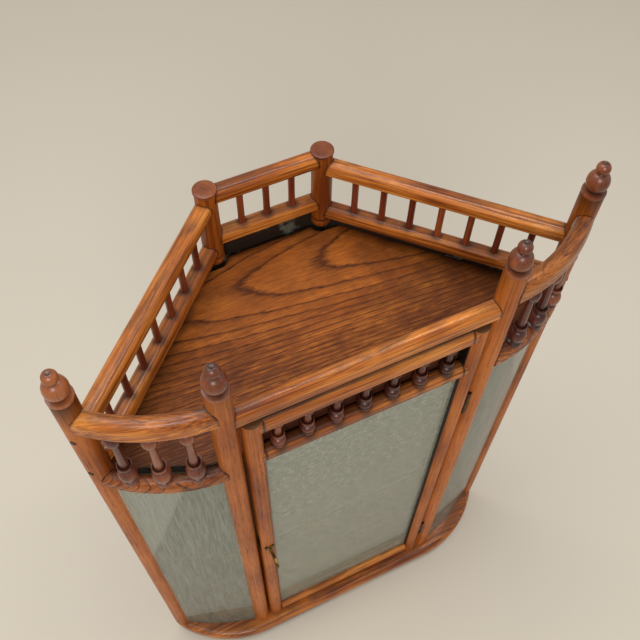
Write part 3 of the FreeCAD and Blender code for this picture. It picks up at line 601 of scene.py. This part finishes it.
# Rails: a domed top over a quirk and a low rounded strip; the dome stands steeper than a circle
rail = {
    "width": 21.0, "height": 16.5, "stripHeight": 3.6, "edgeRound": 1.6, "inset": 6.0,
    "quirk": 0.25, "quirkRows": (-0.6, -0.1, 0.3), "domePower": 2.35, "domeFrom": 4.0,
    "upperRise": 97.8, "lowerRise": 23.4, "backUpperRise": 110.0, "backLowerRise": 38.4,
    "endRun": 18.0, "endGap": 3.0, "endRows": 22, "middleRows": 90}


def railSection(width, height, strip=rail["stripHeight"]):
    half, edge = width / 2, rail["edgeRound"]
    narrow, rows = half - rail["quirk"], [strip + rise for rise in rail["quirkRows"]]
    low = arc((half - edge, edge), edge, -90, 0, 6)
    quirk = np.column_stack([[half, narrow, narrow], rows])
    a, power = np.radians(np.linspace(rail["domeFrom"], 90, 14)), 2.0 / rail["domePower"]
    dome = np.stack([half * np.cos(a) ** power, strip + (height - strip) * np.sin(a) ** power], -1)
    right = np.vstack([low, quirk, dome])
    return np.vstack([right, right[:-1][::-1] * [-1, 1]])


def straightPath(a, b, inset, z):
    # from a to b at height z, an inset short of both, with closer rows towards the ends
    a, b = np.array(a, float), np.array(b, float)
    run = (b - a) / np.linalg.norm(b - a)
    length = np.linalg.norm(b - a) - 2 * inset
    end, start = rail["endRun"], rail["endRun"] + rail["endGap"]
    s = np.concatenate([np.linspace(0, end, rail["endRows"]),
                        np.linspace(start, length - start, rail["middleRows"]),
                        np.linspace(length - end, length, rail["endRows"])])
    path = flat3(a + run * inset + np.outer(s, run), z)
    return path, np.repeat([[run[1], -run[0], 0.0]], len(path), 0)


# Dark joint lines with painted shade: darkest where a rail meets a post's round side or a moulding a stile
seam = {"share": 0.95, "postGap": 0.2, "postReach": 1.2, "stileGap": 0.4, "stileReach": 1.6}
posts = [np.array([s * p[0], p[1]]) for p in (wallPost, frontPost, backPost) for s in (1, -1)]


def nearPosts(points):
    d = np.min([np.hypot(*(points[:, :2] - p).T) - plan["postRadius"] for p in posts], axis=0)
    return np.exp(-((d - seam["postGap"]) / seam["postReach"]) ** 2) * seam["share"]


def around(points, spots, radius, reach, share):
    # a halo of dirt and painted contact shade round each upright at spots
    d = np.min([np.hypot(*(points[:, :2] - p).T) - radius for p in spots], axis=0)
    return share * np.exp(-(np.clip(d, 0, None) / reach) ** 2)


def evenly(count, pitch):
    # count places about nought, a pitch apart
    return (np.arange(count) - (count - 1) / 2) * pitch


# Dowels stand in the lower straight rails at even steps, with dirt and painted contact shade round their feet
dowel = {
    "radius": 4.2, "perWall": 7, "perBack": 3, "endShare": 1.43, "socket": 3.0, "sides": 20,
    "swell": 0.06, "darkReach": 3.6, "darkShare": 0.75, "topReach": 5.0, "topShade": 0.7}
pitch = wallLength / (dowel["perWall"] + dowel["endShare"])
backPitch = 2 * backPost[0] / (dowel["perBack"] + dowel["endShare"])
wallDowels = wallPost + np.outer(wallLength / 2 + evenly(dowel["perWall"], pitch), wallRun)
backSteps = evenly(dowel["perBack"], backPitch)
backDowels = np.column_stack([backSteps, np.full(len(backSteps), backPost[1])])
dowelSpots = np.vstack([wallDowels, wallDowels * [-1, 1], backDowels])


def lowRailShadeAndDirt(points):
    # dark joint lines and painted shade at the posts, and dirt with painted contact shade round the dowels'
    # feet
    halo = around(points, dowelSpots, dowel["radius"], dowel["darkReach"], dowel["darkShare"])
    return np.maximum(nearPosts(points), halo)


section = railSection(rail["width"], rail["height"])
for level, darkening in (("upper", nearPosts), ("lower", lowRailShadeAndDirt)):
    path = straightPath(wallPost, backPost, rail["inset"], board + rail[level + "Rise"])
    makePair("rail%sSide" % level.title(), [sweep(section, *path)], "rail_%s_side" % level,
             oak, joints=darkening)
    rise = rail["back%sRise" % level.title()]
    path = straightPath(backPost, backPost * [-1, 1], rail["inset"], board + rise)
    makePiece("rail%sBack" % level.title(), [sweep(section, *path)], "carcase", ["rail_%s_back" % level],
              oak, darkening)

# Bowed rails, sawn from straight stock, so their grain runs out at a slant to the curve
bow = {
    "inset": 4.5, "spans": ((-1, -0.75, 20), (-0.72, 0.72, 30), (0.75, 1, 20)),
    "darkFrom": 3.0, "darkOver": 7.0, "grainDepth": 10.0,
    "upper": {"width": 20.0, "height": 25.0, "strip": 7.5, "rise": 127.0, "endOffset": 2.5,
              "midOffset": 15.0, "slant": 0.16, "pith": 70.0, "shade": 0.22},
    "lower": {"width": 17.0, "height": 19.0, "strip": 4.0, "rise": 0.0, "endOffset": 4.0,
              "midOffset": 16.5, "slant": 0.85, "pith": 60.0, "shade": 0.6}}


def bowGrain(own, grid):
    # along the chord, turned up by the slant; the pith lies a way under the rail
    d, z = grid[:, :, :2] - wallPost, grid[:, :, 2] - grid[:, :, 2].min()
    along, c, s = d @ chord, np.cos(own["slant"]), np.sin(own["slant"])
    deep = d @ outward + bow["grainDepth"]
    return np.stack([along * c + z * s, deep, z * c - along * s + own["pith"]], -1)


def bowedRail(own):
    # the arc between the post axes, stopped short of them by the inset
    half = chordLength / 2
    radius, centre = bowArc(half, own["endOffset"], own["midOffset"])
    end = np.arcsin((half - bow["inset"]) / radius)
    a = end * np.concatenate([np.linspace(*span) for span in bow["spans"]])
    points, across = bowPoints(radius, centre, a)
    section = railSection(own["width"], own["height"], own["strip"])
    # darker on the inner half of the section
    inner = own["shade"] * np.clip((bow["darkFrom"] - section[:, 0]) / bow["darkOver"], 0, 1)
    return sweep(section, flat3(points, board + own["rise"]), flat3(across), partial(bowGrain, own), inner)


# the right upper rail takes the browner oak
for level, right, left in (("upper", brownerOak, oak), ("lower", bowOak, bowOak)):
    makePair("bowedRail" + level.title(), [bowedRail(bow[level])], "rail_%s_curved" % level,
             right, left, nearPosts)
print("gallery rails ready")

# Posts, with the tops eased; the last stretch under the collar is darker towards the top
post = {
    "top": 174.0, "ease": 0.8, "rowStep": 4.0, "darkRun": 50.0, "darkPower": 1.3,
    "darkShare": {"wall": 0.75, "front": 0.35}}
# the lock's bolt slides 9 mm into a pocket in the left front post
strike = {"throw": 9.0, "margin": 0.6, "columns": (-3, 2), "rows": 3, "clear": 1.0, "shade": 0.9}
boltLow, boltHigh = (np.array(v) * 1000.0 + [0, plan["originY"], 0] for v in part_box("lock_bolt"))
pocketFoot, pocketHead = boltLow[2] - strike["margin"], boltHigh[2] + strike["margin"]
pocketFloor = boltLow[0] - strike["throw"] - strike["margin"]


def postProfile(z0, z1, ease):
    r = plan["postRadius"]
    rows = np.arange(z0 + 2, z1 - ease - 1, post["rowStep"])
    shaft = np.column_stack([np.full(len(rows), r), rows])
    return np.vstack([[r, z0], shaft, arc((r - ease, z1 - ease), ease, 0, 90, 4)])


def withPocketRows(profile):
    # even rows between the pocket's edges, in place of those near it
    z, rows = profile[:, 1], strike["rows"] + 1
    rims = np.column_stack([np.full(rows, plan["postRadius"]), np.linspace(pocketFoot, pocketHead, rows)])
    below, over = z <= pocketFoot - strike["clear"], z >= pocketHead + strike["clear"]
    return np.vstack([profile[below], rims, profile[over]]), int(below.sum())


def pocketed(shell, row):
    # the faces between two rows and two columns go in to the pocket's floor, and walls join them to the rim;
    # the sunk points carry painted shade
    rows, turn = range(row, row + strike["rows"]), kit["sides"]
    patch = [i * turn + j % turn for i in rows for j in range(*strike["columns"])]
    opened = [shell["faces"][k] for k in patch]
    rim = sorted({v for f in opened for v in f})
    inner = dict(zip(rim, range(len(shell["points"]), len(shell["points"]) + len(rim))))
    edges = {(f[k], f[k - 3]) for f in opened for k in range(4)}
    walls = [[a, b, inner[b], inner[a]] for a, b in sorted(edges) if (b, a) not in edges]
    kept = [f for k, f in enumerate(shell["faces"]) if k not in patch]
    sunk = shell["points"][rim] * [0, 1, 1] + [pocketFloor, 0, 0]
    return {"points": np.vstack([shell["points"], sunk]),
            "faces": kept + [[inner[v] for v in f] for f in opened] + walls,
            "grain": np.vstack([shell["grain"], shell["grain"][rim]]),
            "shade": np.concatenate([shell["shade"], np.full(len(rim), strike["shade"])])}


for kind, point in (("wall", wallPost), ("front", frontPost)):
    for side, s in hands:
        hasPocket = kind + side == "frontLeft"
        profile = postProfile(plan["baseTop"], board + post["top"], post["ease"])
        if hasPocket:
            profile, row = withPocketRows(profile)
        rise = profile[:, 1] - board - post["top"] + post["darkRun"]
        darkening = np.clip(rise / post["darkRun"], 0, 1) ** post["darkPower"]
        shell = lathe(profile, point * [s, 1], 0.0, shade=post["darkShare"][kind] * darkening)
        makePiece(kind + "Post" + side, [pocketed(shell, row) if hasPocket else shell], "carcase",
                  ["post_%s_%s" % (kind, side.lower())], postOak)

# Back posts end in a ball foot, a flattened arc, below a groove; painted shade lies under the ball and in the
# groove
back = {
    "top": 123.8, "ease": 0.5, "shaftFoot": 20.0, "ballRadius": 12.6, "ballRise": 9.5, "flatness": 0.86,
    "lift": 1.6, "groove": ((10.8, 16.2), (11.0, 17.4), (12.4, 18.6)),
    "shade": (0.9, 0.6, 0.3, 0, 0, 0, 0, 0, 0, 0, 0, 0.5, 0.9, 0.9, 0.4)}
ball = arc((0, back["ballRise"]), back["ballRadius"], -52, 28, 12)
foot = np.vstack([ball * [1, back["flatness"]] + [0, back["lift"]], back["groove"]])
shaft = postProfile(board + back["shaftFoot"], board + back["top"], back["ease"])
shade = np.concatenate([back["shade"], np.zeros(len(shaft))])
for side, s in hands:
    shell = lathe(np.vstack([foot + [0, board], shaft]), backPost * [s, 1], 0.0, shade=shade)
    makePiece("backPost" + side, [shell], "carcase", ["post_back_" + side.lower()], postOak)

# Finials: a flat collar, an acorn-shaped ball and a knob with a dimple in its top; painted shade darkens the
# dimple and the crease over the collar
finial = {
    "ballFoot": 5.6, "ballRadius": 12.0, "ballRise": 16.4, "ballTop": 28.9, "knobRadius": 7.4,
    "knobRise": 35.0, "waistRadius": 4.6, "dimpleRadius": 3.0, "shoulderPower": 1.25,
    "collar": ((12.4, 0.0), (12.8, 0.5), (12.8, 3.4), (12.5, 4.1), (8.6, 4.5), (6.4, 4.7), (5.9, 5.1)),
    "neckShade": (0.25, 0.7, 0.95, 0.85, 0.3),
    "dimple": ((2.4, 0.05), (1.8, -0.2), (1.0, -0.45), (0.4, -0.5)),
    "dimpleShade": (0.15, 0.35, 0.55, 0.7, 0.75, 0.75, 0.7)}


def finialProfile():
    # ball: below its middle a circle; above it the radius falls with the cosine to a power over one, so the
    # shoulder is conical
    p = finial
    foot = np.arcsin(-(p["ballRise"] - p["ballFoot"]) / p["ballRadius"])
    low = arc((0, p["ballRise"]), p["ballRadius"], np.degrees(foot), -4, 10)
    t = np.radians(np.linspace(0, 86, 16))
    width = p["waistRadius"] + (p["ballRadius"] - p["waistRadius"]) * np.cos(t) ** p["shoulderPower"]
    shoulder = np.stack([width, p["ballRise"] + (p["ballTop"] - p["ballRise"]) * np.sin(t)], -1)
    knobFoot = -np.degrees(np.arccos(p["waistRadius"] / p["knobRadius"]))
    knobEnd = np.degrees(np.arccos(p["dimpleRadius"] / p["knobRadius"]))
    knob = arc((0, p["knobRise"]), p["knobRadius"], knobFoot, knobEnd, 18)
    profile = np.vstack([p["collar"], low, shoulder, knob, np.array(p["dimple"]) + [0, knob[-1][1]]])
    # painted shade in the dimple and in the crease between collar and ball
    shade = np.zeros(len(profile))
    shade[-len(p["dimpleShade"]):] = p["dimpleShade"]
    shade[4:4 + len(p["neckShade"])] = p["neckShade"]
    return profile, shade


profile, shade = finialProfile()
for kind, point in (("wall", wallPost), ("front", frontPost)):
    for side, s in hands:
        shell = lathe(profile, point * [s, 1], board + post["top"], shade=shade)
        makePiece(kind + "Finial" + side, [shell], "carcase", ["finial_%s_%s" % (kind, side.lower())],
                  turnedWood)

# Caps of the back posts: a thin flared disc with a nearly flat top
cap = {
    "foot": (12.5, 0.0), "lowRound": ((12.4, 1.8), 1.2, -80, 0, 5), "highRound": ((12.0, 3.2), 1.6, 0, 80, 5),
    "dome": ((9.0, 5.2), (5.0, 5.65), (1.5, 5.78))}
profile = np.vstack([cap["foot"], arc(*cap["lowRound"]), arc(*cap["highRound"]), cap["dome"]])
for side, s in hands:
    shell = lathe(profile, backPost * [s, 1], board + back["top"])
    makePiece("backCap" + side, [shell], "carcase", ["cap_back_" + side.lower()], capWood)


# Plain dowels between the straight rails
def dowelShell(point, lowRise, topRise):
    # a rod that swells very slightly at both ends, where the drill left it tight
    foot = board + lowRise + rail["height"] - dowel["socket"]
    s = np.linspace(0, 1, 17)
    length = board + topRise - foot
    profile = np.stack([dowel["radius"] * (1 - dowel["swell"] * np.sin(np.pi * s)), s * length], -1)
    # painted shade at the top, where the rod goes up into the upper rail
    shade = np.exp(-((1 - s) * length / dowel["topReach"]) ** 2) * dowel["topShade"]
    return lathe(profile, point, foot, dowel["sides"], shade)


shells = [dowelShell(p, rail["lowerRise"], rail["upperRise"]) for p in wallDowels]
makePair("sideDowels", shells, "dowels_side", dowelWood)
shells = [dowelShell(p, rail["backLowerRise"], rail["backUpperRise"]) for p in backDowels]
makePiece("backDowels", shells, "carcase", ["dowels_back"], dowelWood)


# Turned spindles: base ring, large ball, waist, flared cup with a hollow rim, slim neck, small ball, pin
def bulge(radius, low, high, start, end, full, power=1.0):
    # an arc from start to end degrees, stretched so that full degrees to each side reach low and high
    a = np.radians(np.linspace(start, end, 16))
    rise = (low + high) / 2 + (high - low) / 2 * np.sin(a) / np.sin(np.radians(full))
    return np.stack([radius * np.cos(a) ** power, rise], -1)


def spindleProfile(length, own):
    ball, head, neck, cup = (own[k] for k in ("ball", "head", "neck", "cup"))
    ring, waist, pin = 0.85 * ball, 0.5 * ball, 1.3 * neck
    z = {k: v * length for k, v in own["shares"].items()}
    floor = z["cup"] - 0.16 * cup
    s = np.linspace(0, 1, 7)
    flare = [waist + (cup - waist) * s ** 1.7, z["waist"] + (z["cupFoot"] - z["waist"]) * s]
    parts = [
        [[ring * 0.94, 0.0], [ring, 0.5], [ring, z["ring"] * 0.62], [0.93 * ring, z["ring"] * 0.8],
         [0.62 * ring, z["ring"]]],
        bulge(ball, z["ring"], z["ball"], -64, 58, 62, 0.85),
        np.stack(flare, -1),
        [[cup * 1.01, z["cup"] - 0.5], [cup * 0.97, z["cup"]], [cup * 0.84, z["cup"] - 0.1],
         [cup * 0.78, z["cup"] - 0.5], [cup * 0.72, floor], [neck * 1.35, floor - 0.2]],
        np.stack([neck * (1.3 - 0.35 * np.linspace(0, 1, 9)), np.linspace(floor, z["neck"], 9)], -1),
        bulge(head, z["neck"], z["head"], -68, 68, 68),
        [[pin, z["head"] + 0.2], [pin, length]]]
    # painted shade in the creases at both ends of each bulge and in the cup's hollow
    shades = [[0.4, 0.1, 0, 0.2, 0.9], [0.7] + [0] * 14 + [0.5], [0.8, 0.5] + [0] * 5,
              [0.1, 0, 0.35, 0.75, 0.85, 0.8], [0.6, 0.2] + [0] * 6 + [0.5],
              [0.4] + [0] * 14 + [0.6], [0.9, 0.9]]
    return np.vstack(parts), np.concatenate(shades)


# radii in millimetres; the shares are heights along the turning, each where the named part ends
spindle = {
    "ball": 10.2, "head": 8.2, "neck": 3.9, "cup": 7.9, "count": 3, "socket": 3.0, "sides": 36,
    "shares": {"ring": 0.07, "ball": 0.265, "waist": 0.283, "cupFoot": 0.31, "cup": 0.345,
               "neck": 0.775, "head": 0.955}}
lower, upper = bow["lower"], bow["upper"]
spindleFoot = board + lower["rise"] + lower["height"] - spindle["socket"]
profile, shade = spindleProfile(board + upper["rise"] - spindleFoot, spindle)
spots = bowCurve(0.0, lower["endOffset"], lower["midOffset"], spindle["count"] + 2)[0][1:-1]
shells = [lathe(profile, p, spindleFoot, spindle["sides"], shade) for p in spots]
makePair("bowSpindles", shells, "spindles_curved", spindleWood)
print("posts and turnings ready")

# Door
door = {
    "halfWidth": 136.7, "stileWidth": 19.7, "top": 98.0, "mouldBack": -44.0, "mouldFront": -62.0,
    "mouldRise": 9.0, "upperMould": 20.0, "lowerMould": 17.0, "housing": 5.0,
    "darkBehind": -6.5, "darkOver": 4.0, "stripShade": 0.8}
bobbin = {
    "ball": 8.4, "head": 6.8, "neck": 3.6, "cup": 7.3, "count": 7, "endShare": 0.13, "shift": -1.8,
    "socket": 3.0, "sides": 36, "darkInset": 1.5, "darkReach": 3.0, "darkShare": 0.8,
    "shares": {"ring": 0.09, "ball": 0.3, "waist": 0.33, "cupFoot": 0.38, "cup": 0.47,
               "neck": 0.76, "head": 0.94}}
stileInner = door["halfWidth"] - door["stileWidth"]
doorTop = board + door["top"]
mouldY = (door["mouldBack"] + door["mouldFront"]) / 2
# post oak on end, with dirt and painted shade on its top under the front rail, and painted shade along the
# rebate beside the glass
stileOak = woodMaterial("stileOak", {
    **postLook, "turn": upright, "pith": (0.0, 90.0, 0.0), "dust": "#3b2d26", "dustShare": 0.9,
    "above": (doorTop - 0.8, "#5b3a20", 0.3), "within": (stileInner + 0.6, "#1d120c")})


def nearStiles(points):
    # the mouldings are coped into the stiles and lie in shadow there
    d = (np.abs(points[:, 0]) - stileInner + seam["stileGap"]) / seam["stileReach"]
    return np.exp(-d ** 2) * seam["share"]


def mouldShell(z, height, share):
    # painted shade lies behind the crest and under the strip
    end = np.array([stileInner + door["housing"], mouldY])
    section = railSection(door["mouldBack"] - door["mouldFront"], height)
    behind = np.clip((section[:, 0] - door["darkBehind"]) / door["darkOver"], 0, 1) * share
    under = np.clip(1.0 - section[:, 1], 0, 1) * door["stripShade"]
    return sweep(section, *straightPath(end, end * [-1, 1], 0.0, z), shade=np.maximum(behind, under))


bobbinPitch = 2 * stileInner / (bobbin["count"] + bobbin["endShare"])
bobbinSpots = [(s + bobbin["shift"], mouldY) for s in evenly(bobbin["count"], bobbinPitch)]


def lowMouldShadeAndDirt(points):
    # painted shade at the stiles, and dirt with painted contact shade round each bobbin's foot
    radius = bobbin["ball"] - bobbin["darkInset"]
    halo = around(points, bobbinSpots, radius, bobbin["darkReach"], bobbin["darkShare"])
    return np.maximum(nearStiles(points), halo)


shell = mouldShell(doorTop - door["upperMould"], door["upperMould"], 0.85)
makePiece("doorUpperMoulding", [shell], "door", ["door_moulding_upper"], oak, nearStiles)
shell = mouldShell(board + door["mouldRise"], door["lowerMould"], 0.35)
makePiece("doorLowerMoulding", [shell], "door", ["door_moulding_lower"], oak, lowMouldShadeAndDirt)
bobbinFoot = board + door["mouldRise"] + door["lowerMould"] - bobbin["socket"]
profile, shade = spindleProfile(doorTop - door["upperMould"] - bobbinFoot, bobbin)
shells = [lathe(profile, p, bobbinFoot, bobbin["sides"], shade) for p in bobbinSpots]
makePiece("doorBobbins", shells, "door", ["door_bobbins"], bobbinWood)

# Front rail over the door, with painted shade along its lower edge
frontRail = {
    "y": -50.5, "depth": 18.0, "height": 21.0, "strip": 6.0, "rise": 106.0, "inset": 8.0,
    "shadeHeight": 1.4, "darkShare": 0.85}
end = np.array([frontPost[0], frontRail["y"]])
section = railSection(frontRail["depth"], frontRail["height"], frontRail["strip"])
shade = frontRail["darkShare"] * np.clip(frontRail["shadeHeight"] - section[:, 1], 0, 1)
path = straightPath(end, end * [-1, 1], frontRail["inset"], board + frontRail["rise"])
makePiece("frontRail", [sweep(section, *path, shade=shade)], "carcase", ["rail_front"], oak,
          nearPosts)
print("door ready")

# Curved glass
pane = {"inset": 8.0, "endOffset": 7.5, "midOffset": 13.0, "thickness": 3.0, "foot": 31.0, "top": 3.0}


def paneShell():
    outer, across = bowCurve(pane["inset"], pane["endOffset"], pane["midOffset"], 40)
    thick, foot, top = -pane["thickness"], pane["foot"], board + pane["top"]
    return sweep([[0.0, foot], [0.0, top], [thick, top], [thick, foot]], flat3(outer), flat3(across))


makePair("bowedGlass", [paneShell()], "glass_curved", bowedGlass)

# Top board: at each depth y it reaches out to the nearest of the chord line, the wall line and the back
# post's notch; rows are closer at the back, and columns towards the sides
tray = {
    "rear": 205.3, "thickness": 16.0, "chordOffset": -4.5, "wallOffset": 4.4,
    "notch": 14.4, "rows": ((-38.5, 185.0, 90), (187.0, 205.3, 30)), "columns": 61,
    "darkReach": 3.5, "darkShare": 0.85, "wallSlope": 0.72}


def boardReach(y):
    onChord = wallPost + outward * tray["chordOffset"]
    onWall = wallPost + toWall * tray["wallOffset"]
    chordX = onChord[0] + (y - onChord[1]) * chord[0] / chord[1]
    wallX = onWall[0] + (y - onWall[1]) * wallRun[0] / wallRun[1]
    root = np.clip(tray["notch"] ** 2 - (y - backPost[1]) ** 2, 0, None)
    notchX = np.where(root > 0, backPost[0] - np.sqrt(root), np.inf)
    return np.minimum(np.minimum(chordX, wallX), notchX)


def boardShell():
    y = np.concatenate([np.linspace(*span) for span in tray["rows"]])
    s = np.sin(np.linspace(-1, 1, tray["columns"]) * np.pi / 2)
    x = boardReach(y)[:, None] * s
    # each row runs across the top and back underneath
    top = np.stack([x, np.repeat(y[:, None], len(s), 1), np.full(x.shape, board)], -1)
    grid = np.concatenate([top, top[:, ::-1] - [0, 0, tray["thickness"]]], 1)
    shell = turnedOut(closedTube(grid, grid))
    p = shell["points"]
    # painted shade along the rim, where the board runs under the rails and round the back posts' feet
    side = (boardReach(p[:, 1]) - np.abs(p[:, 0])) * tray["wallSlope"]
    edge = np.clip(np.minimum(side, tray["rear"] - p[:, 1]), 0, None)
    shell["shade"] = tray["darkShare"] * np.exp(-edge / tray["darkReach"])
    return shell


makePiece("trayBoard", [boardShell()], "carcase", ["top_board"], boardOak)

# CAD nodes that keep their shape
for names, material in ((("base_board", "door_bottom_rail", "door_beads", "shelf_cleats"), oakAcross),
                        (("door_stile_left", "door_stile_right"), stileOak),
                        (("door_frieze_panel",), friezeOak),
                        (("panel_side_left", "panel_side_right", "panel_back", "shelf"), lining),
                        (("plinth",), darkPlinth),
                        (("door_glass",), flatGlass),
                        (("hinge_leaves_door", "hinge_leaves_post", "hinge_pins"), hingeBrass),
                        (("lock_bolt", "lock_escutcheon", "lock_key"), agedBrass),
                        (("rail_screws", "lock_case"), blackSteel)):
    for name in names:
        nodes[name].data.materials.clear()
        nodes[name].data.materials.append(material)
print("nodes dressed")
